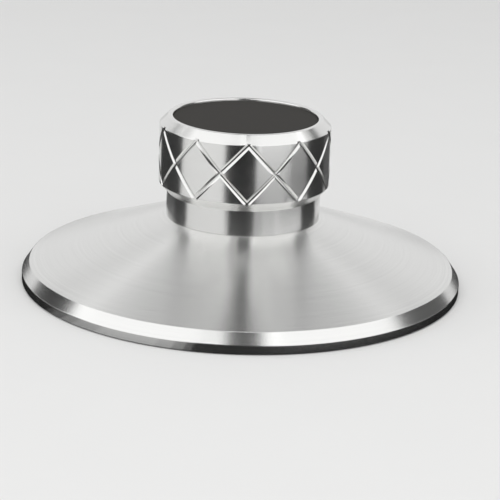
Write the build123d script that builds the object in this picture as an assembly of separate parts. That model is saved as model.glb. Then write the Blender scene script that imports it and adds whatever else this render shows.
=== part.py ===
from build123d import *

import os
from math import radians, tan

# Record weight clamp, in millimetres. The pieces are turned about the Z axis, Z = 0 is the plane
# that the weight rests on, and -Y is the front, where two grooves of the grip cross.

# Base disc
RIM_DIAMETER = 82.0
RIM_HEIGHT = 1.55
RIM_CHAMFER_WIDTH = 1.4
RIM_CHAMFER_HEIGHT = 2.0
CONE_HEIGHT = 9.1
POST_DIAMETER = 14.0
POST_CHAMFER = 0.6

# Spindle bore, blind, from the underside of the disc up into its centre post
BORE_DIAMETER = 7.3
BORE_DEPTH = 15.0
BORE_LEAD_IN = 0.8
DRILL_POINT_ANGLE = 118.0

# Grip knob
NECK_DIAMETER = 28.6
NECK_HEIGHT = 4.75
BEVEL_HEIGHT = 1.7
GRIP_DIAMETER = 31.7
GRIP_HEIGHT = 10.85
TOP_CHAMFER = 1.6
KNOB_WEB = 4.0

# Crossing V-grooves of the grip: as many turn left as turn right
GROOVES_EACH_WAY = 10
GROOVE_WIDTH = 1.0
GROOVE_ANGLE = 105.0
FRONT_ANGLE = -90.0

# Inlay in the top of the knob
INLAY_DIAMETER = 26.7
INLAY_THICKNESS = 1.0
INLAY_DEPTH = 0.5

# Pad let into the underside of the disc
PAD_OUTER_DIAMETER = 76.0
PAD_INNER_DIAMETER = 16.0
PAD_THICKNESS = 1.0
PAD_STANDOFF = 0.2

# Countersunk screw under the inlay, with a hexagon socket
SCREW_DIAMETER = 5.0
SCREW_LENGTH = 10.0
SCREW_HEAD_DIAMETER = 10.0
SCREW_HEAD_ANGLE = 90.0
SCREW_HEAD_RECESS = 0.1
SOCKET_ACROSS_FLATS = 3.0
SOCKET_DEPTH = 2.0
TAPPED_HOLE_SPARE = 1.0

# Clearances: on the radius, or along Z for the gap over the post
POST_CLEARANCE = 0.05
POST_TOP_GAP = 0.2
INLAY_CLEARANCE = 0.05
PAD_CLEARANCE = 0.1
SCREW_HOLE_CLEARANCE = 0.25
SCREW_HEAD_CLEARANCE = 0.05
THREAD_CLEARANCE = 0.05

# Radii
rim_radius = RIM_DIAMETER / 2
cone_radius = rim_radius - RIM_CHAMFER_WIDTH
neck_radius = NECK_DIAMETER / 2
grip_radius = GRIP_DIAMETER / 2
land_radius = grip_radius - TOP_CHAMFER
post_radius = POST_DIAMETER / 2
bore_radius = BORE_DIAMETER / 2
screw_radius = SCREW_DIAMETER / 2
screw_head_radius = SCREW_HEAD_DIAMETER / 2

# Levels, from the resting plane up
rim_foot = PAD_STANDOFF
rim_top = rim_foot + RIM_HEIGHT
cone_foot = rim_top + RIM_CHAMFER_HEIGHT
knob_seat = cone_foot + CONE_HEIGHT
neck_top = knob_seat + NECK_HEIGHT
grip_foot = neck_top + BEVEL_HEIGHT
grip_top = grip_foot + GRIP_HEIGHT
knob_top = grip_top + TOP_CHAMFER
inlay_top = knob_top - INLAY_DEPTH
inlay_floor = inlay_top - INLAY_THICKNESS
knob_web_foot = inlay_floor - KNOB_WEB
post_top = knob_web_foot - POST_TOP_GAP
bore_end = rim_foot + BORE_DEPTH
screw_top = inlay_floor - SCREW_HEAD_RECESS
screw_tip = screw_top - SCREW_LENGTH


def turned(*corners):
    """Solid turned about Z from the (radius, height) corners of its half section."""
    half_section = Plane.XZ * make_face(Polyline(*corners, close=True))
    return revolve(half_section, Axis.Z)


def round_bar(radius, foot, top):
    """Cylinder on the Z axis between two levels."""
    return turned((0, foot), (radius, foot), (radius, top), (0, top))


def washer(inner_radius, outer_radius, foot, top):
    """Flat ring about the Z axis between two levels."""
    return turned((inner_radius, foot), (outer_radius, foot), (outer_radius, top), (inner_radius, top))


def spindle_bore():
    """Space for the spindle: a lead-in, a straight wall and the cone that the drill leaves."""
    mouth_radius = bore_radius + BORE_LEAD_IN
    drill_point = bore_radius / tan(radians(DRILL_POINT_ANGLE / 2))
    return turned(
        (0, rim_foot),
        (mouth_radius, rim_foot),
        (bore_radius, rim_foot + BORE_LEAD_IN),
        (bore_radius, bore_end),
        (0, bore_end + drill_point),
    )


def base_disc():
    """Conical disc with its rim, and the centre post that carries the knob."""
    disc = turned(
        (0, rim_foot),
        (rim_radius, rim_foot),
        (rim_radius, rim_top),
        (cone_radius, cone_foot),
        (neck_radius, knob_seat),
        (post_radius, knob_seat),
        (post_radius, post_top - POST_CHAMFER),
        (post_radius - POST_CHAMFER, post_top),
        (0, post_top),
    )
    pad_recess = washer(
        PAD_INNER_DIAMETER / 2 - PAD_CLEARANCE,
        PAD_OUTER_DIAMETER / 2 + PAD_CLEARANCE,
        rim_foot,
        PAD_THICKNESS,
    )
    tapped_hole = round_bar(screw_radius + THREAD_CLEARANCE, screw_tip - TAPPED_HOLE_SPARE, post_top)
    return disc - pad_recess - spindle_bore() - tapped_hole


def groove_cutter():
    """Right-hand helical V, one of the ring of cuts across the grip band.

    It climbs the band while it turns by one groove spacing, so that the grooves of both hands
    cross at the two edges of the band and halfway up it. Both ends run out over the bevels, and the
    V stands out from the band as far as it cuts into it.
    """
    overrun = max(TOP_CHAMFER, BEVEL_HEIGHT)
    spacing = 360 / GROOVES_EACH_WAY
    depth = GROOVE_WIDTH / 2 / tan(radians(GROOVE_ANGLE / 2))
    path = Helix(GROOVES_EACH_WAY * GRIP_HEIGHT, GRIP_HEIGHT + 2 * overrun, grip_radius)
    section_plane = Plane(path @ 0, x_dir=(1, 0, 0), z_dir=path % 0)
    section = Polyline((-depth, 0), (depth, GROOVE_WIDTH), (depth, -GROOVE_WIDTH), close=True)
    cutter = sweep(section_plane * make_face(section), path, is_frenet=True)
    start_angle = FRONT_ANGLE - spacing * overrun / GRIP_HEIGHT
    return Pos(0, 0, grip_foot - overrun) * Rot(0, 0, start_angle) * cutter


def grip_knob():
    """Knob with a neck, the grooved grip band, a recess for the inlay and a bore over the post."""
    knob = turned(
        (0, knob_seat),
        (neck_radius, knob_seat),
        (neck_radius, neck_top),
        (grip_radius, grip_foot),
        (grip_radius, grip_top),
        (land_radius, knob_top),
        (0, knob_top),
    )
    inlay_recess = round_bar(INLAY_DIAMETER / 2 + INLAY_CLEARANCE, inlay_floor, knob_top)
    post_bore = round_bar(post_radius + POST_CLEARANCE, knob_seat, knob_web_foot)
    head_flank = tan(radians(SCREW_HEAD_ANGLE / 2))
    head_radius = screw_head_radius + SCREW_HEAD_CLEARANCE + SCREW_HEAD_RECESS * head_flank
    hole_radius = screw_radius + SCREW_HOLE_CLEARANCE
    screw_hole = turned(
        (0, knob_web_foot),
        (hole_radius, knob_web_foot),
        (hole_radius, inlay_floor - (head_radius - hole_radius) / head_flank),
        (head_radius, inlay_floor),
        (0, inlay_floor),
    )
    right_hand = groove_cutter()
    left_hand = mirror(right_hand, about=Plane.YZ)
    ring = PolarLocations(0, GROOVES_EACH_WAY)
    right_hands = [place * right_hand for place in ring]
    left_hands = [place * left_hand for place in ring]
    return knob - inlay_recess - post_bore - screw_hole - right_hands - left_hands


def top_inlay():
    """Thin disc that fills the recess in the top of the knob and covers the screw."""
    return round_bar(INLAY_DIAMETER / 2, inlay_floor, inlay_top)


def label_pad():
    """Flat ring under the disc, which stands a little proud of the rim and carries the weight."""
    return washer(PAD_INNER_DIAMETER / 2, PAD_OUTER_DIAMETER / 2, 0, PAD_THICKNESS)


def knob_screw():
    """Countersunk screw that draws the knob down on the seat round the post."""
    head_foot = screw_top - (screw_head_radius - screw_radius) / tan(radians(SCREW_HEAD_ANGLE / 2))
    screw = turned(
        (0, screw_tip),
        (screw_radius, screw_tip),
        (screw_radius, head_foot),
        (screw_head_radius, screw_top),
        (0, screw_top),
    )
    hexagon = RegularPolygon(SOCKET_ACROSS_FLATS / 2, 6, major_radius=False)
    socket = Pos(0, 0, screw_top - SOCKET_DEPTH) * extrude(hexagon, SOCKET_DEPTH)
    return screw - socket


pieces = {
    "base_disc": base_disc(),
    "grip_knob": grip_knob(),
    "top_inlay": top_inlay(),
    "label_pad": label_pad(),
    "knob_screw": knob_screw(),
}

os.makedirs("parts", exist_ok=True)
for name, piece in pieces.items():
    piece.label = name
    export_step(piece, f"parts/{name}.step")
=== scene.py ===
from math import cos, pi, radians, sin, sqrt, tan, tau

import bpy
from bpy.props import FloatProperty, FloatVectorProperty, IntProperty, PointerProperty
from mathutils import Euler, Matrix, Vector


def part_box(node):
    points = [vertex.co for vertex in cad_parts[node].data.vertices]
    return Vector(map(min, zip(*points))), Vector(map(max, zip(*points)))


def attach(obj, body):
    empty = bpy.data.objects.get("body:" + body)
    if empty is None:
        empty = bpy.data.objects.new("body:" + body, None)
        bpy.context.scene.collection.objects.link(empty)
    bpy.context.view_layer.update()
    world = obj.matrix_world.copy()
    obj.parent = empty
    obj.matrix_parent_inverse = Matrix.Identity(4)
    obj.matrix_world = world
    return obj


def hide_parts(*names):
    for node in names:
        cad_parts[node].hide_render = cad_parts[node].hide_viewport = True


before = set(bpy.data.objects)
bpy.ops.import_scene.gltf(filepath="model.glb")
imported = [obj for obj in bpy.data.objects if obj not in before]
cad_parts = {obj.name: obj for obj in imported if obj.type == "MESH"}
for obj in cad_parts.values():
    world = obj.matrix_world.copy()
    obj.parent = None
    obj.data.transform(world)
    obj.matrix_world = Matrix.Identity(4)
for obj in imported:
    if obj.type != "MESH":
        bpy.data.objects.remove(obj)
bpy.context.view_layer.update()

bl_info = {
    "name": "Record weight clamp",
    "version": (1, 0, 0),
    "blender": (4, 5, 0),
    "location": "3D View > Sidebar > Record weight",
    "description": "Turned aluminium weight with a cross-grooved grip, its finishes and a studio stage",
    "category": "Add Mesh",
}

BODY = "root"
MM = 0.001
ORIGIN = Vector((0, 0, 0))
UP = Vector((0, 0, 1))

DISC_LOW, DISC_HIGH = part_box("base_disc")
KNOB_LOW, KNOB_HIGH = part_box("grip_knob")
INLAY_LOW, INLAY_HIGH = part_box("top_inlay")
PAD_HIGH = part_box("label_pad")[1]
SCREW_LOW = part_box("knob_screw")[0]

# How finely the meshes are rounded, joined and shaded.
MERGE_DISTANCE = 1e-7
CORNER_SEGMENTS = 4
SMOOTH_ANGLE = radians(27)
CARD_STEPS = 24

# Turning marks follow the radius less a share of the height, so that upright walls carry them too. They
# vary the tone, and wider bands among them vary the gloss. Highlights are stretched a quarter turn from
# the direction that the marks run in.
MARK_HEIGHT_SHARE = 0.6
MARK_TONES = (0.955, 1.04)
BAND_SCALE = 0.3
BAND_NOISE = (0.3, 0.7)
BAND_GLOSS = 0.008
ACROSS_MARKS = 0.25

# Size and depth of the grain of each plain finish, and how far the grain varies the gloss. The floor and
# the cards are of one dull paper.
GROOVE_GRAIN = (0.3 * MM, 0.0004 * MM)
INLAY_GRAIN = (0.25 * MM, 0.004 * MM)
PAD_GRAIN = (0.4 * MM, 0.02 * MM)
SCREW_GRAIN = (0.3 * MM, 0.002 * MM)
PAPER_GRAIN = (20 * MM, 0)
GRAIN_GLOSS = 0.05
PAPER_ROUGHNESS = 0.9

# The front wall's light turns into that of the other walls as a direction's Y goes from 0 to this.
FRONT_WALL_BLEND = 0.3

# The camera's sensor, in millimetres, and the least distance at which it sees.
SENSOR_WIDTH = 36
NEAREST_SEEN = 10 * MM

# Rings of the floor, by their inner and outer radius, named for what mirrors them.
RIM_REACH = 50 * MM
NECK_REACH = 68 * MM
GRIP_FOOT_REACH = 100 * MM
GRIP_MIDDLE_REACH = 115 * MM
GRIP_REACH = 400 * MM
RIM_RING = (PAD_HIGH.x, RIM_REACH)
NECK_RING = (RIM_REACH, NECK_REACH)
GRIP_RING = (NECK_REACH, GRIP_REACH)
GRIP_FOOT_RING = (NECK_REACH, GRIP_FOOT_REACH)
GRIP_MIDDLE_RING = (GRIP_FOOT_REACH, GRIP_MIDDLE_REACH)
GRIP_TOP_RING = (GRIP_MIDDLE_REACH, GRIP_REACH)

# Cards that only the metal's reflections show. Each has a shade and its first and last azimuth, in
# degrees from the front to the right, then its ring of the floor, or its lower and upper elevation in
# degrees where it stands upright. Those on the floor lie just clear of it.
CARD_LIFT = 0.1 * MM
FLOOR_CARDS = {
    "rim_card": (0.01, -14, 299, RIM_RING),
    "rim_left_dark_card": (0.06, -61, -58, RIM_RING),
    "rim_left_dim_card": (0.12, -58, -53.5, RIM_RING),
    "rim_left_grey_card": (0.25, -53.5, -49, RIM_RING),
    "rim_left_pale_card": (0.35, -49, -41, RIM_RING),
    "rim_pale_card": (0.45, -41, -23.5, RIM_RING),
    "rim_right_pale_card": (0.38, -23.5, -19, RIM_RING),
    "rim_right_grey_card": (0.25, -19, -16, RIM_RING),
    "rim_right_dim_card": (0.1, -16, -14, RIM_RING),
    "front_near_card": (0.03, -21, 12, NECK_RING),
    "front_far_card": (0.01, -26, 12.5, GRIP_RING),
    "left_near_card": (0.03, -114, -84, NECK_RING),
    "left_end_card": (0.12, -155, -114, NECK_RING),
    "left_far_card": (0.03, -145, -88, GRIP_RING),
    "right_near_dim_card": (0.42, 12, 23, NECK_RING),
    "right_near_pale_card": (0.66, 23, 40, NECK_RING),
    "right_near_white_card": (0.85, 40, 85, NECK_RING),
    "right_near_card": (0.03, 85, 122, NECK_RING),
    "right_grey_card": (0.25, 12.5, 48, GRIP_FOOT_RING),
    "right_pale_card": (0.4, 12.5, 54, GRIP_MIDDLE_RING),
    "right_white_card": (0.95, 12.5, 58, GRIP_TOP_RING),
    "right_dim_card": (0.07, 48, 84, GRIP_FOOT_RING),
    "right_dim_grey_card": (0.16, 54, 84, GRIP_MIDDLE_RING),
    "right_dim_pale_card": (0.46, 58, 84, GRIP_TOP_RING),
    "right_far_card": (0.03, 84, 122, GRIP_RING),
    "right_end_card": (0.09, 122, 150, GRIP_RING),
}
UPRIGHT_CARDS = {
    "front_card": (0.03, -24, 10, 0, 24),
    "camera_card": (0.03, -9.5, 11, 24, 75),
    "camera_left_card": (0.1, -26, -9.5, 48.5, 68),
    "camera_right_card": (0.1, 11, 18.5, 48.5, 68),
    "left_foot_card": (0.03, -116, -84, 0, 8),
    "left_low_card": (0.03, -130, -99, 8, 34),
    "left_high_card": (0.6, -120, -108, 34, 52),
    "right_card": (0.1, 90, 127, 0, 38),
    "back_card": (0.03, 173, 182, 42, 78),
    "back_right_card": (0.66, 164, 173, 50, 68),
    "back_left_card": (0.66, 182, 190, 50, 68),
}
RAYS_PAST_CARDS = ("camera", "diffuse", "transmission", "volume_scatter", "shadow")


def length(name, description, metres):
    """A size that the user can set, in metres."""
    return FloatProperty(
        name=name,
        description=description,
        default=metres,
        min=0,
        precision=5,
        unit="LENGTH",
        subtype="DISTANCE",
    )


def angle(name, description, degrees):
    """An angle that the user can set, given in degrees and kept in radians."""
    return FloatProperty(
        name=name,
        description=description,
        default=radians(degrees),
        unit="ROTATION",
        subtype="ANGLE",
    )


def share(name, description, value):
    """A value from 0 to 1 that the user can set."""
    return FloatProperty(name=name, description=description, default=value, min=0, max=1, subtype="FACTOR")


def brightness(name, description, value):
    """A strength of light that the user can set."""
    return FloatProperty(name=name, description=description, default=value, min=0)


def count(name, description, number, least):
    """A whole number that the user can set."""
    return IntProperty(name=name, description=description, default=number, min=least)


def colour(name, description, value):
    """A linear colour that the user can set."""
    return FloatVectorProperty(
        name=name,
        description=description,
        default=value,
        size=3,
        min=0,
        max=1,
        subtype="COLOR",
    )


class DiscSizes(bpy.types.PropertyGroup):
    """Sizes of the conical disc"""

    steps: count("Steps", "Faces round the disc", 360, 32)
    edge_break: length("Edge break", "Rounding of the disc's corners", 0.12 * MM)
    rim_radius: length("Rim radius", "Radius of the upright rim", DISC_HIGH.x)
    rim_height: length("Rim height", "Height of the upright rim", 1.55 * MM)
    chamfer_width: length("Rim chamfer width", "Width of the rim's chamfer, seen from above", 1.4 * MM)
    chamfer_height: length("Rim chamfer height", "Height of the chamfer above the rim", 2.0 * MM)
    post_radius: length("Post radius", "Radius of the centre post that carries the knob", 7.0 * MM)
    post_chamfer: length("Post chamfer", "Chamfer at the top of the post", 0.6 * MM)
    bore_radius: length("Bore radius", "Radius of the spindle bore", 3.65 * MM)
    bore_depth: length("Bore depth", "Depth of the bore's straight wall, from the underside", 15.0 * MM)
    bore_lead_in: length("Bore lead-in", "Chamfer at the mouth of the bore", 0.8 * MM)
    drill_point: angle("Drill point", "Full angle of the cone at the end of the bore", 118)
    pad_clearance: length("Pad clearance", "Gap between the pad and the walls of its recess", 0.1 * MM)
    tapped_hole_radius: length("Tapped hole radius", "Radius of the screw's hole in the post", 2.55 * MM)
    tapped_hole_spare: length("Tapped hole spare", "Depth of that hole past the screw's tip", 1.0 * MM)


class KnobSizes(bpy.types.PropertyGroup):
    """Sizes of the grip knob"""

    steps: count("Steps", "Faces round the knob", 360, 32)
    edge_break: length("Edge break", "Rounding of the knob's corners", 0.1 * MM)
    land_break: length("Land break", "Rounding of the inner edge of the land round the inlay", 0.3 * MM)
    neck_radius: length("Neck radius", "Radius of the neck under the grip", 14.3 * MM)
    neck_height: length("Neck height", "Height of the neck", 4.75 * MM)
    bevel_height: length("Bevel height", "Height of the bevel between the neck and the grip", 1.7 * MM)
    grip_radius: length("Grip radius", "Radius of the grip band", 15.85 * MM)
    top_chamfer: length("Top chamfer", "Chamfer over the grip band", 1.6 * MM)
    recess_clearance: length("Recess clearance", "Gap between the inlay and its recess's wall", 0.05 * MM)
    post_clearance: length("Post clearance", "Gap between the post and the knob's bore", 0.05 * MM)
    web: length("Web", "Thickness of metal between the bore and the inlay's recess", 4.0 * MM)
    screw_hole_radius: length("Screw hole radius", "Radius of the hole for the screw's shank", 2.75 * MM)
    countersink_radius: length("Countersink radius", "Radius of the countersink under the inlay", 5.15 * MM)


class GrooveSizes(bpy.types.PropertyGroup):
    """Sizes of the crossing grooves of the grip"""

    each_way: count("Grooves each way", "Grooves that turn to each hand", 10, 1)
    width: length("Groove width", "Width of a groove's mouth, across the groove", 1.0 * MM)
    v_angle: angle("Groove angle", "Full angle between a groove's two flanks", 105)
    root_round: length("Root rounding", "Length of each flank that the rounded root takes up", 0.45 * MM)
    front: angle("Front crossing", "Direction from the axis in which two grooves cross", -90)
    steps: count("Steps", "Faces along a groove", 48, 8)


class MetalFinish(bpy.types.PropertyGroup):
    """Finish of the turned aluminium"""

    tint: colour("Aluminium", "Colour of the bare aluminium", (0.80, 0.80, 0.79))
    disc_roughness: share("Disc roughness", "Roughness across the disc's turning marks", 0.23)
    rim_roughness: share("Rim roughness", "Roughness across the marks of the rim and its chamfer", 0.23)
    knob_roughness: share("Knob roughness", "Roughness across the knob's turning marks", 0.21)
    cut_roughness: share("Groove roughness", "Roughness of the bright-cut grooves", 0.15)
    disc_grain: share("Disc grain", "How far the disc's turning marks stretch a highlight", 1.0)
    cut_grain: share("Cut grain", "How far the finer marks of the knob and the rim stretch it", 0.55)
    mark_spacing: length("Mark spacing", "Distance between turning marks", 0.5 * MM)
    mark_depth: length("Mark depth", "Depth of the turning marks", 0.0006 * MM)


class DarkFinish(bpy.types.PropertyGroup):
    """Finish of the dark pieces"""

    inlay: colour("Inlay", "Colour of the inlay in the top of the knob", (0.046, 0.044, 0.041))
    inlay_roughness: share("Inlay roughness", "Roughness of the inlay", 0.8)
    pad: colour("Pad", "Colour of the pad under the disc", (0.02, 0.02, 0.02))
    pad_roughness: share("Pad roughness", "Roughness of the pad", 0.85)
    screw: colour("Screw", "Colour of the oxidised screw", (0.22, 0.22, 0.23))
    screw_roughness: share("Screw roughness", "Roughness of the screw", 0.4)
    edge_break: length("Inlay edge break", "Rounding of the inlay's edge", 0.12 * MM)


class StageSettings(bpy.types.PropertyGroup):
    """Floor, light and camera"""

    floor: colour("Floor", "Colour of the floor", (0.78, 0.78, 0.775))
    floor_size: length("Floor size", "Side of the floor", 8.0)
    wall_light: brightness("Wall light", "Brightness of the pale walls", 0.83)
    front_light: brightness("Front light", "Brightness of the front wall", 0.34)
    ceiling_light: brightness("Ceiling light", "Brightness overhead", 0.33)
    wall_bend: angle("Wall bend", "Elevation at which the walls start to turn into the ceiling", 45)
    wall_top: angle("Wall top", "Elevation at which the walls have turned into the ceiling", 52)
    lamp_brightness: brightness("Lamp brightness", "Brightness of a lamp's face", 0.83)
    lamp_distance: length("Lamp distance", "Distance of the lamps from the object", 0.8)
    lamp_elevation: angle("Lamp elevation", "Direction of the lamps above level", 42)
    lamp_height: length("Lamp height", "Height of a lamp's face", 1.35)
    left_lamp_azimuth: angle("Left lamp azimuth", "Direction of the left lamp from the front", -56)
    left_lamp_width: length("Left lamp width", "Width of the left lamp's face", 1.78)
    right_lamp_azimuth: angle("Right lamp azimuth", "Direction of the right lamp from the front", 47)
    right_lamp_width: length("Right lamp width", "Width of the right lamp's face", 1.5)
    card_distance: length("Card distance", "Distance of the upright cards from the axis", 0.4)
    camera_distance: length("Camera distance", "Level distance of the camera from the axis", 371.0 * MM)
    camera_height: length("Camera height", "Height of the camera above the floor", 124.1 * MM)
    camera_azimuth: angle("Camera azimuth", "Turn of the camera about the axis, from the front", -2.5)
    camera_yaw: angle("Camera yaw", "Turn of the view to the right of the axis", 0.252)
    camera_pitch: angle("Camera pitch", "Tilt of the view below level", 17.69)
    camera_roll: angle("Camera roll", "Tilt of the camera about its own line of sight", 2.036)
    focal_length: FloatProperty(
        name="Focal length",
        description="Focal length of the camera",
        default=149.2,
        unit="CAMERA",
    )


def node(tree, kind, values=None, **settings):
    """New shader node, with its settings and the values of its inputs."""
    made = tree.nodes.new(kind)
    for name, value in settings.items():
        setattr(made, name, value)
    for name, value in (values or {}).items():
        made.inputs[name].default_value = value
    return made


def new_material(name):
    """New material with its node tree and its shader."""
    material = bpy.data.materials.new(name)
    material.use_nodes = True
    return material, material.node_tree, material.node_tree.nodes["Principled BSDF"]


def linear(tint, factor):
    """Colour socket value, made darker or lighter by a factor."""
    return (*(channel * factor for channel in tint), 1)


def turned_metal(name, metal, roughness, grain):
    """Aluminium off the lathe: fine rings that stretch each highlight across them."""
    material, tree, shader = new_material(name)
    link = tree.links.new
    shader.inputs["Metallic"].default_value = 1
    shader.inputs["Anisotropic"].default_value = grain
    shader.inputs["Anisotropic Rotation"].default_value = ACROSS_MARKS
    place = node(tree, "ShaderNodeTexCoord")
    flat = node(tree, "ShaderNodeVectorMath", {1: (1, 1, 0)}, operation="MULTIPLY")
    radius = node(tree, "ShaderNodeVectorMath", operation="LENGTH")
    height = node(tree, "ShaderNodeSeparateXYZ")
    across = node(tree, "ShaderNodeMath", {1: -MARK_HEIGHT_SHARE}, operation="MULTIPLY_ADD")
    link(place.outputs["Object"], flat.inputs[0])
    link(flat.outputs["Vector"], radius.inputs[0])
    link(place.outputs["Object"], height.inputs[0])
    link(height.outputs["Z"], across.inputs[0])
    link(radius.outputs["Value"], across.inputs[2])
    marks = node(
        tree,
        "ShaderNodeTexNoise",
        {"Scale": 1 / metal.mark_spacing, "Detail": 2, "Roughness": 0.5},
        noise_dimensions="1D",
    )
    bands = node(
        tree,
        "ShaderNodeTexNoise",
        {"Scale": BAND_SCALE / metal.mark_spacing, "Detail": 2},
        noise_dimensions="1D",
    )
    link(across.outputs[0], marks.inputs["W"])
    link(across.outputs[0], bands.inputs["W"])
    darkest, lightest = MARK_TONES
    tone = node(tree, "ShaderNodeMix", data_type="RGBA")
    tone.inputs["A"].default_value = linear(metal.tint, darkest)
    tone.inputs["B"].default_value = linear(metal.tint, lightest)
    link(marks.outputs["Fac"], tone.inputs["Factor"])
    link(tone.outputs["Result"], shader.inputs["Base Color"])
    lowest, highest = BAND_NOISE
    gloss = node(
        tree,
        "ShaderNodeMapRange",
        {
            "From Min": lowest,
            "From Max": highest,
            "To Min": roughness - BAND_GLOSS,
            "To Max": roughness + BAND_GLOSS,
        },
    )
    link(bands.outputs["Fac"], gloss.inputs["Value"])
    link(gloss.outputs["Result"], shader.inputs["Roughness"])
    relief = node(tree, "ShaderNodeBump", {"Strength": 1, "Distance": metal.mark_depth})
    link(marks.outputs["Fac"], relief.inputs["Height"])
    link(relief.outputs["Normal"], shader.inputs["Normal"])
    tangent = node(tree, "ShaderNodeTangent", direction_type="RADIAL", axis="Z")
    link(tangent.outputs["Tangent"], shader.inputs["Tangent"])
    return material


def grained(name, tint, roughness, grain, metallic=0.0, specular=0.5, variation=0.1):
    """Plain finish with a fine even grain, whose size and depth are given as a pair."""
    grain_size, grain_depth = grain
    material, tree, shader = new_material(name)
    link = tree.links.new
    shader.inputs["Metallic"].default_value = metallic
    shader.inputs["Specular IOR Level"].default_value = specular
    place = node(tree, "ShaderNodeTexCoord")
    grains = node(tree, "ShaderNodeTexNoise", {"Scale": 1 / grain_size, "Detail": 4, "Roughness": 0.55})
    link(place.outputs["Object"], grains.inputs["Vector"])
    tone = node(tree, "ShaderNodeMix", data_type="RGBA")
    tone.inputs["A"].default_value = linear(tint, 1 - variation)
    tone.inputs["B"].default_value = linear(tint, 1 + variation)
    link(grains.outputs["Fac"], tone.inputs["Factor"])
    link(tone.outputs["Result"], shader.inputs["Base Color"])
    gloss = node(
        tree,
        "ShaderNodeMapRange",
        {"To Min": roughness - GRAIN_GLOSS, "To Max": roughness + GRAIN_GLOSS},
    )
    link(grains.outputs["Fac"], gloss.inputs["Value"])
    link(gloss.outputs["Result"], shader.inputs["Roughness"])
    relief = node(tree, "ShaderNodeBump", {"Strength": 1, "Distance": grain_depth})
    link(grains.outputs["Fac"], relief.inputs["Height"])
    link(relief.outputs["Normal"], shader.inputs["Normal"])
    return material


def matt_paper(name, tint, variation):
    """Dull finish of the floor and of the cards."""
    return grained(name, tint, PAPER_ROUGHNESS, PAPER_GRAIN, specular=0.0, variation=variation)


def draw_line(name, points, closed):
    """New object: a line drawn from point to point, by extruding a single point."""
    bpy.ops.object.select_all(action="DESELECT")
    bpy.ops.mesh.primitive_plane_add(size=MM)
    line = bpy.context.object
    line.name = name
    line.data.name = name
    bpy.ops.object.mode_set(mode="EDIT")
    bpy.ops.mesh.select_mode(type="VERT")
    bpy.ops.mesh.select_all(action="SELECT")
    bpy.ops.mesh.merge(type="CENTER")
    here, *others = points
    bpy.ops.transform.translate(value=here)
    for point in [*others, here] if closed else others:
        bpy.ops.mesh.extrude_region_move(TRANSFORM_OT_translate={"value": point - here})
        here = point
    bpy.ops.mesh.select_all(action="SELECT")
    bpy.ops.mesh.remove_doubles(threshold=MERGE_DISTANCE)
    bpy.ops.object.mode_set(mode="OBJECT")
    return line


def break_corners(line, corners, edge_break):
    """Round the given corners of a line, which are found by their place."""
    for edge in line.data.edges:
        edge.select = False
    for vertex in line.data.vertices:
        vertex.select = any((vertex.co - corner).length < MERGE_DISTANCE for corner in corners)
    bpy.ops.object.mode_set(mode="EDIT")
    bpy.ops.mesh.bevel(affect="VERTICES", offset=edge_break, segments=CORNER_SEGMENTS)
    bpy.ops.object.mode_set(mode="OBJECT")


def spin_selected(sweep, steps, **settings):
    """Turn what is selected about the weight's axis, through the sweep."""
    bpy.ops.mesh.spin(angle=sweep, steps=steps, center=ORIGIN, axis=UP, **settings)


def turn(name, corners, edge_break, steps, closed=False, wide_breaks=None):
    """New piece turned about Z from the (radius, height) corners of its half section, edges broken.

    A corner named in wide_breaks takes its own rounding, and a corner on the axis has none.
    """
    wide = wide_breaks or {}
    places = {corner: Vector((corner[0], 0, corner[1])) for corner in corners}
    plain = [corner for corner in corners if corner[0] > 0 and corner not in wide]
    piece = draw_line(name, places.values(), closed)
    break_corners(piece, [places[corner] for corner in plain], edge_break)
    for corner, wide_break in wide.items():
        break_corners(piece, [places[corner]], wide_break)
    bpy.ops.object.mode_set(mode="EDIT")
    bpy.ops.mesh.select_all(action="SELECT")
    spin_selected(tau, steps, use_auto_merge=True)
    bpy.ops.mesh.select_all(action="SELECT")
    bpy.ops.mesh.remove_doubles(threshold=MERGE_DISTANCE)
    bpy.ops.mesh.normals_make_consistent(inside=False)
    bpy.ops.object.mode_set(mode="OBJECT")
    return piece


def select_only(piece):
    """Make the piece the one that operators act on."""
    bpy.ops.object.select_all(action="DESELECT")
    bpy.context.view_layer.objects.active = piece
    piece.select_set(True)


def apply_modifier(piece, kind, **settings):
    """Add a modifier with its settings, and apply it."""
    select_only(piece)
    modifier = piece.modifiers.new(kind.title(), kind)
    for name, value in settings.items():
        setattr(modifier, name, value)
    bpy.ops.object.modifier_apply(modifier=modifier.name)


def smooth(piece):
    """Round faces shade smooth, and wide faces keep their own direction up to their edges."""
    select_only(piece)
    bpy.ops.object.shade_smooth_by_angle(angle=SMOOTH_ANGLE)
    apply_modifier(piece, "WEIGHTED_NORMAL", mode="FACE_AREA", weight=100, keep_sharp=True)


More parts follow.
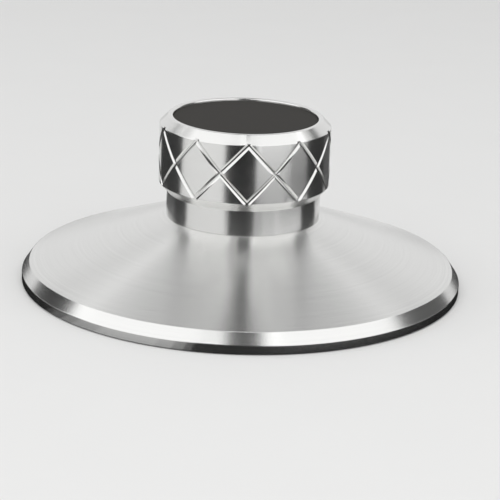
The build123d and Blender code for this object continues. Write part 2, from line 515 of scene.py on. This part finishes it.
def groove_ring(name, knob, grooves, foot, top, hand):
    """Cutter for the grooves of one hand: a V that climbs the grip band, copied round the axis."""
    spacing = tau / grooves.each_way
    overrun = max(knob.top_chamfer, knob.bevel_height)
    depth = grooves.width / 2 / tan(grooves.v_angle / 2)
    climb = (top - foot) / (knob.grip_radius * spacing)
    mouth_half_height = grooves.width * sqrt(1 + climb**2)
    start = grooves.front - hand * spacing * overrun / (top - foot)
    outward = Vector((cos(start), sin(start), 0))
    mouth = outward * (knob.grip_radius + depth) + UP * (foot - overrun)
    root = outward * (knob.grip_radius - depth) + UP * (foot - overrun)
    section = [root, mouth + UP * mouth_half_height, mouth - UP * mouth_half_height]
    cutter = draw_line(name, section, True)
    break_corners(cutter, [root], grooves.root_round)
    run = top - foot + 2 * overrun
    apply_modifier(
        cutter,
        "SCREW",
        axis="Z",
        angle=hand * spacing * run / (top - foot),
        screw_offset=run,
        steps=grooves.steps,
        render_steps=grooves.steps,
        use_merge_vertices=False,
    )
    bpy.ops.object.mode_set(mode="EDIT")
    bpy.ops.mesh.select_all(action="SELECT")
    # With sides at 0, an end is closed however many corners it has.
    bpy.ops.mesh.fill_holes(sides=0)
    bpy.ops.mesh.select_all(action="SELECT")
    bpy.ops.mesh.normals_make_consistent(inside=False)
    others = grooves.each_way - 1
    spin_selected(spacing * others, others, dupli=True, use_auto_merge=False)
    bpy.ops.object.mode_set(mode="OBJECT")
    return cutter


def inner_radius(node_name):
    """Radius of the hole through a ring-shaped node."""
    return min(vertex.co.to_2d().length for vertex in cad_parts[node_name].data.vertices)


def place_piece(piece, node_name):
    """The piece stands for its node, which is hidden, and rides on the part."""
    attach(piece, BODY)
    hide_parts(node_name)


class WEIGHT_OT_base_disc(bpy.types.Operator):
    """Turn the conical disc with its rim, pad recess, spindle bore and centre post"""

    bl_idname = "record_weight.base_disc"
    bl_label = "Base disc"

    def execute(self, context):
        disc = context.scene.weight_disc
        knob = context.scene.weight_knob
        metal = context.scene.weight_metal
        foot = DISC_LOW.z
        top = DISC_HIGH.z
        seat = KNOB_LOW.z
        pad_hole_radius = inner_radius("label_pad")
        rim_top = foot + disc.rim_height
        bore_end = foot + disc.bore_depth
        hole_end = SCREW_LOW.z - disc.tapped_hole_spare
        cone_radius = disc.rim_radius - disc.chamfer_width
        corners = [
            (0, bore_end + disc.bore_radius / tan(disc.drill_point / 2)),
            (disc.bore_radius, bore_end),
            (disc.bore_radius, foot + disc.bore_lead_in),
            (disc.bore_radius + disc.bore_lead_in, foot),
            (pad_hole_radius - disc.pad_clearance, foot),
            (pad_hole_radius - disc.pad_clearance, PAD_HIGH.z),
            (PAD_HIGH.x + disc.pad_clearance, PAD_HIGH.z),
            (PAD_HIGH.x + disc.pad_clearance, foot),
            (disc.rim_radius, foot),
            (disc.rim_radius, rim_top),
            (cone_radius, rim_top + disc.chamfer_height),
            (knob.neck_radius, seat),
            (disc.post_radius, seat),
            (disc.post_radius, top - disc.post_chamfer),
            (disc.post_radius - disc.post_chamfer, top),
            (disc.tapped_hole_radius, top),
            (disc.tapped_hole_radius, hole_end),
            (0, hole_end),
        ]
        piece = turn("turned_disc", corners, disc.edge_break, disc.steps)
        cone_finish = turned_metal("disc_aluminium", metal, metal.disc_roughness, metal.disc_grain)
        rim_finish = turned_metal("bright_cut_rim", metal, metal.rim_roughness, metal.cut_grain)
        piece.data.materials.append(cone_finish)
        piece.data.materials.append(rim_finish)
        for face in piece.data.polygons:
            face.material_index = int(face.center.to_2d().length > cone_radius)
        smooth(piece)
        place_piece(piece, "base_disc")
        return {"FINISHED"}


class WEIGHT_OT_grip_knob(bpy.types.Operator):
    """Turn the knob and cut its crossing grooves"""

    bl_idname = "record_weight.grip_knob"
    bl_label = "Grip knob"

    def execute(self, context):
        disc = context.scene.weight_disc
        knob = context.scene.weight_knob
        grooves = context.scene.weight_grooves
        metal = context.scene.weight_metal
        seat = KNOB_LOW.z
        top = KNOB_HIGH.z
        floor = INLAY_LOW.z
        neck_top = seat + knob.neck_height
        grip_foot = neck_top + knob.bevel_height
        grip_top = top - knob.top_chamfer
        web_foot = floor - knob.web
        recess_radius = INLAY_HIGH.x + knob.recess_clearance
        post_bore_radius = disc.post_radius + knob.post_clearance
        corners = [
            (post_bore_radius, seat),
            (knob.neck_radius, seat),
            (knob.neck_radius, neck_top),
            (knob.grip_radius, grip_foot),
            (knob.grip_radius, grip_top),
            (knob.grip_radius - knob.top_chamfer, top),
            (recess_radius, top),
            (recess_radius, floor),
            (knob.countersink_radius, floor),
            (knob.screw_hole_radius, floor - (knob.countersink_radius - knob.screw_hole_radius)),
            (knob.screw_hole_radius, web_foot),
            (post_bore_radius, web_foot),
        ]
        piece = turn(
            "grooved_knob",
            corners,
            knob.edge_break,
            knob.steps,
            closed=True,
            wide_breaks={(recess_radius, top): knob.land_break},
        )
        turned = turned_metal("knob_aluminium", metal, metal.knob_roughness, metal.cut_grain)
        bright_cut = grained(
            "bright_cut_grooves", metal.tint, metal.cut_roughness, GROOVE_GRAIN, metallic=1.0
        )
        piece.data.materials.append(turned)
        for name, hand in (("right_hand_grooves", 1), ("left_hand_grooves", -1)):
            cutter = groove_ring(name, knob, grooves, grip_foot, grip_top, hand)
            cutter.data.materials.append(bright_cut)
            apply_modifier(
                piece,
                "BOOLEAN",
                operation="DIFFERENCE",
                solver="EXACT",
                object=cutter,
                material_mode="TRANSFER",
            )
            bpy.data.objects.remove(cutter)
        smooth(piece)
        place_piece(piece, "grip_knob")
        return {"FINISHED"}


class WEIGHT_OT_dark_pieces(bpy.types.Operator):
    """Turn the inlay, and finish the pad and the screw"""

    bl_idname = "record_weight.dark_pieces"
    bl_label = "Inlay, pad and screw"

    def execute(self, context):
        dark = context.scene.weight_dark
        knob = context.scene.weight_knob
        corners = [
            (0, INLAY_LOW.z),
            (INLAY_HIGH.x, INLAY_LOW.z),
            (INLAY_HIGH.x, INLAY_HIGH.z),
            (0, INLAY_HIGH.z),
        ]
        inlay = turn("black_inlay", corners, dark.edge_break, knob.steps)
        inlay_finish = grained("inlay_black", dark.inlay, dark.inlay_roughness, INLAY_GRAIN, specular=0.1)
        inlay.data.materials.append(inlay_finish)
        smooth(inlay)
        place_piece(inlay, "top_inlay")
        pad_finish = grained("pad_black", dark.pad, dark.pad_roughness, PAD_GRAIN, specular=0.3)
        screw_finish = grained("screw_steel", dark.screw, dark.screw_roughness, SCREW_GRAIN, metallic=1.0)
        for node_name, finish in (("label_pad", pad_finish), ("knob_screw", screw_finish)):
            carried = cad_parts[node_name]
            carried.data.materials.clear()
            carried.data.materials.append(finish)
        return {"FINISHED"}


def studio_world(stage):
    """Soft light from all round: pale walls, dimmer behind the lamps, under a dimmer ceiling."""
    world = bpy.data.worlds.new("studio_light")
    bpy.context.scene.world = world
    world.use_nodes = True
    tree = world.node_tree
    direction = node(tree, "ShaderNodeTexCoord")
    part = node(tree, "ShaderNodeSeparateXYZ")
    walls = node(
        tree,
        "ShaderNodeMapRange",
        {
            "From Min": 0,
            "From Max": FRONT_WALL_BLEND,
            "To Min": stage.front_light,
            "To Max": stage.wall_light,
        },
        interpolation_type="SMOOTHSTEP",
    )
    level = node(
        tree,
        "ShaderNodeMapRange",
        {
            "From Min": sin(stage.wall_bend),
            "From Max": sin(stage.wall_top),
            "To Max": stage.ceiling_light,
        },
        interpolation_type="SMOOTHSTEP",
    )
    background = tree.nodes["Background"]
    background.inputs["Color"].default_value = (1, 1, 1, 1)
    tree.links.new(direction.outputs["Generated"], part.inputs[0])
    tree.links.new(part.outputs["Y"], walls.inputs["Value"])
    tree.links.new(walls.outputs["Result"], level.inputs["To Min"])
    tree.links.new(part.outputs["Z"], level.inputs["Value"])
    tree.links.new(level.outputs["Result"], background.inputs["Strength"])


def direction_from_axis(azimuth, elevation):
    """Unit vector away from the object: azimuth from the front to the right, elevation above level."""
    return Vector((sin(azimuth) * cos(elevation), -cos(azimuth) * cos(elevation), sin(elevation)))


def softbox(name, stage, azimuth, width):
    """Rectangular lamp that faces the object and isn't seen itself."""
    away = direction_from_axis(azimuth, stage.lamp_elevation)
    bpy.ops.object.light_add(
        type="AREA",
        location=away * stage.lamp_distance,
        rotation=away.to_track_quat("Z", "Y").to_euler(),
    )
    lamp = bpy.context.object
    lamp.name = name
    lamp.data.shape = "RECTANGLE"
    lamp.data.size = width
    lamp.data.size_y = stage.lamp_height
    lamp.data.energy = stage.lamp_brightness * pi * width * stage.lamp_height
    lamp.visible_camera = False


def card(name, material, edges, first, last):
    """Card turned round the object between two (radius, height) edges, which only reflections show."""
    along = direction_from_axis(first, 0)
    made = draw_line(name, [along * radius + UP * height for radius, height in edges], False)
    bpy.ops.object.mode_set(mode="EDIT")
    bpy.ops.mesh.select_all(action="SELECT")
    spin_selected(first - last, CARD_STEPS, use_auto_merge=False)
    bpy.ops.object.mode_set(mode="OBJECT")
    made.data.materials.append(material)
    for ray in RAYS_PAST_CARDS:
        setattr(made, f"visible_{ray}", False)


def card_finish(shade):
    """Matt grey card of the given shade, one material for all the cards of that shade."""
    name = f"card_{shade:g}"
    return bpy.data.materials.get(name) or matt_paper(name, [shade] * 3, variation=0.02)


def set_cards(distance):
    """Cards on the floor and standing round it, which give the metal something to mirror."""
    for name, (shade, first, last, ring) in FLOOR_CARDS.items():
        edges = [(radius, CARD_LIFT) for radius in ring]
        card(name, card_finish(shade), edges, radians(first), radians(last))
    for name, (shade, first, last, *elevations) in UPRIGHT_CARDS.items():
        edges = [(distance, distance * tan(radians(elevation))) for elevation in elevations]
        card(name, card_finish(shade), edges, radians(first), radians(last))


def set_camera(stage):
    """Camera at its place round the axis, with its aim and its tilt."""
    round_axis = Matrix.Rotation(stage.camera_azimuth, 3, "Z")
    place = round_axis @ Vector((0, -stage.camera_distance, stage.camera_height))
    aim = Euler((pi / 2 - stage.camera_pitch, 0, -stage.camera_yaw)).to_matrix()
    roll = Matrix.Rotation(stage.camera_roll, 3, "Z")
    bpy.ops.object.camera_add(location=place, rotation=(round_axis @ aim @ roll).to_euler())
    camera = bpy.context.object
    camera.name = "camera"
    camera.data.sensor_width = SENSOR_WIDTH
    camera.data.lens = stage.focal_length
    camera.data.clip_start = NEAREST_SEEN
    bpy.context.scene.camera = camera


class WEIGHT_OT_stage(bpy.types.Operator):
    """Lay the floor, light it and set up the camera"""

    bl_idname = "record_weight.stage"
    bl_label = "Stage"

    def execute(self, context):
        stage = context.scene.weight_stage
        bpy.ops.object.select_all(action="DESELECT")
        bpy.ops.mesh.primitive_plane_add(size=stage.floor_size)
        floor = context.object
        floor.name = "floor"
        floor.data.materials.append(matt_paper("floor_pale", stage.floor, variation=0.01))
        studio_world(stage)
        softbox("left_softbox", stage, stage.left_lamp_azimuth, stage.left_lamp_width)
        softbox("right_softbox", stage, stage.right_lamp_azimuth, stage.right_lamp_width)
        set_cards(stage.card_distance)
        set_camera(stage)
        context.scene.view_settings.view_transform = "Standard"
        return {"FINISHED"}


class WEIGHT_PT_sidebar(bpy.types.Panel):
    """Lists the steps that build the weight"""

    bl_idname = "WEIGHT_PT_sidebar"
    bl_label = "Record weight clamp"
    bl_space_type = "VIEW_3D"
    bl_region_type = "UI"
    bl_category = "Record weight"

    def draw(self, context):
        for operator in OPERATORS:
            self.layout.operator(operator.bl_idname)
        for group_name, group in GROUPS.items():
            self.layout.label(text=group.__doc__)
            for property_name in group.__annotations__:
                self.layout.prop(getattr(context.scene, group_name), property_name)


GROUPS = {
    "weight_disc": DiscSizes,
    "weight_knob": KnobSizes,
    "weight_grooves": GrooveSizes,
    "weight_metal": MetalFinish,
    "weight_dark": DarkFinish,
    "weight_stage": StageSettings,
}
OPERATORS = (WEIGHT_OT_base_disc, WEIGHT_OT_grip_knob, WEIGHT_OT_dark_pieces, WEIGHT_OT_stage)


def register():
    for group_name, group in GROUPS.items():
        bpy.utils.register_class(group)
        setattr(bpy.types.Scene, group_name, PointerProperty(type=group))
    for operator in OPERATORS:
        bpy.utils.register_class(operator)
    bpy.utils.register_class(WEIGHT_PT_sidebar)


def unregister():
    bpy.utils.unregister_class(WEIGHT_PT_sidebar)
    for operator in reversed(OPERATORS):
        bpy.utils.unregister_class(operator)
    for group_name, group in reversed(GROUPS.items()):
        delattr(bpy.types.Scene, group_name)
        bpy.utils.unregister_class(group)


def main():
    """Build the weight and its stage."""
    register()
    bpy.ops.record_weight.base_disc()
    bpy.ops.record_weight.grip_knob()
    bpy.ops.record_weight.dark_pieces()
    bpy.ops.record_weight.stage()


if __name__ == "__main__":
    main()
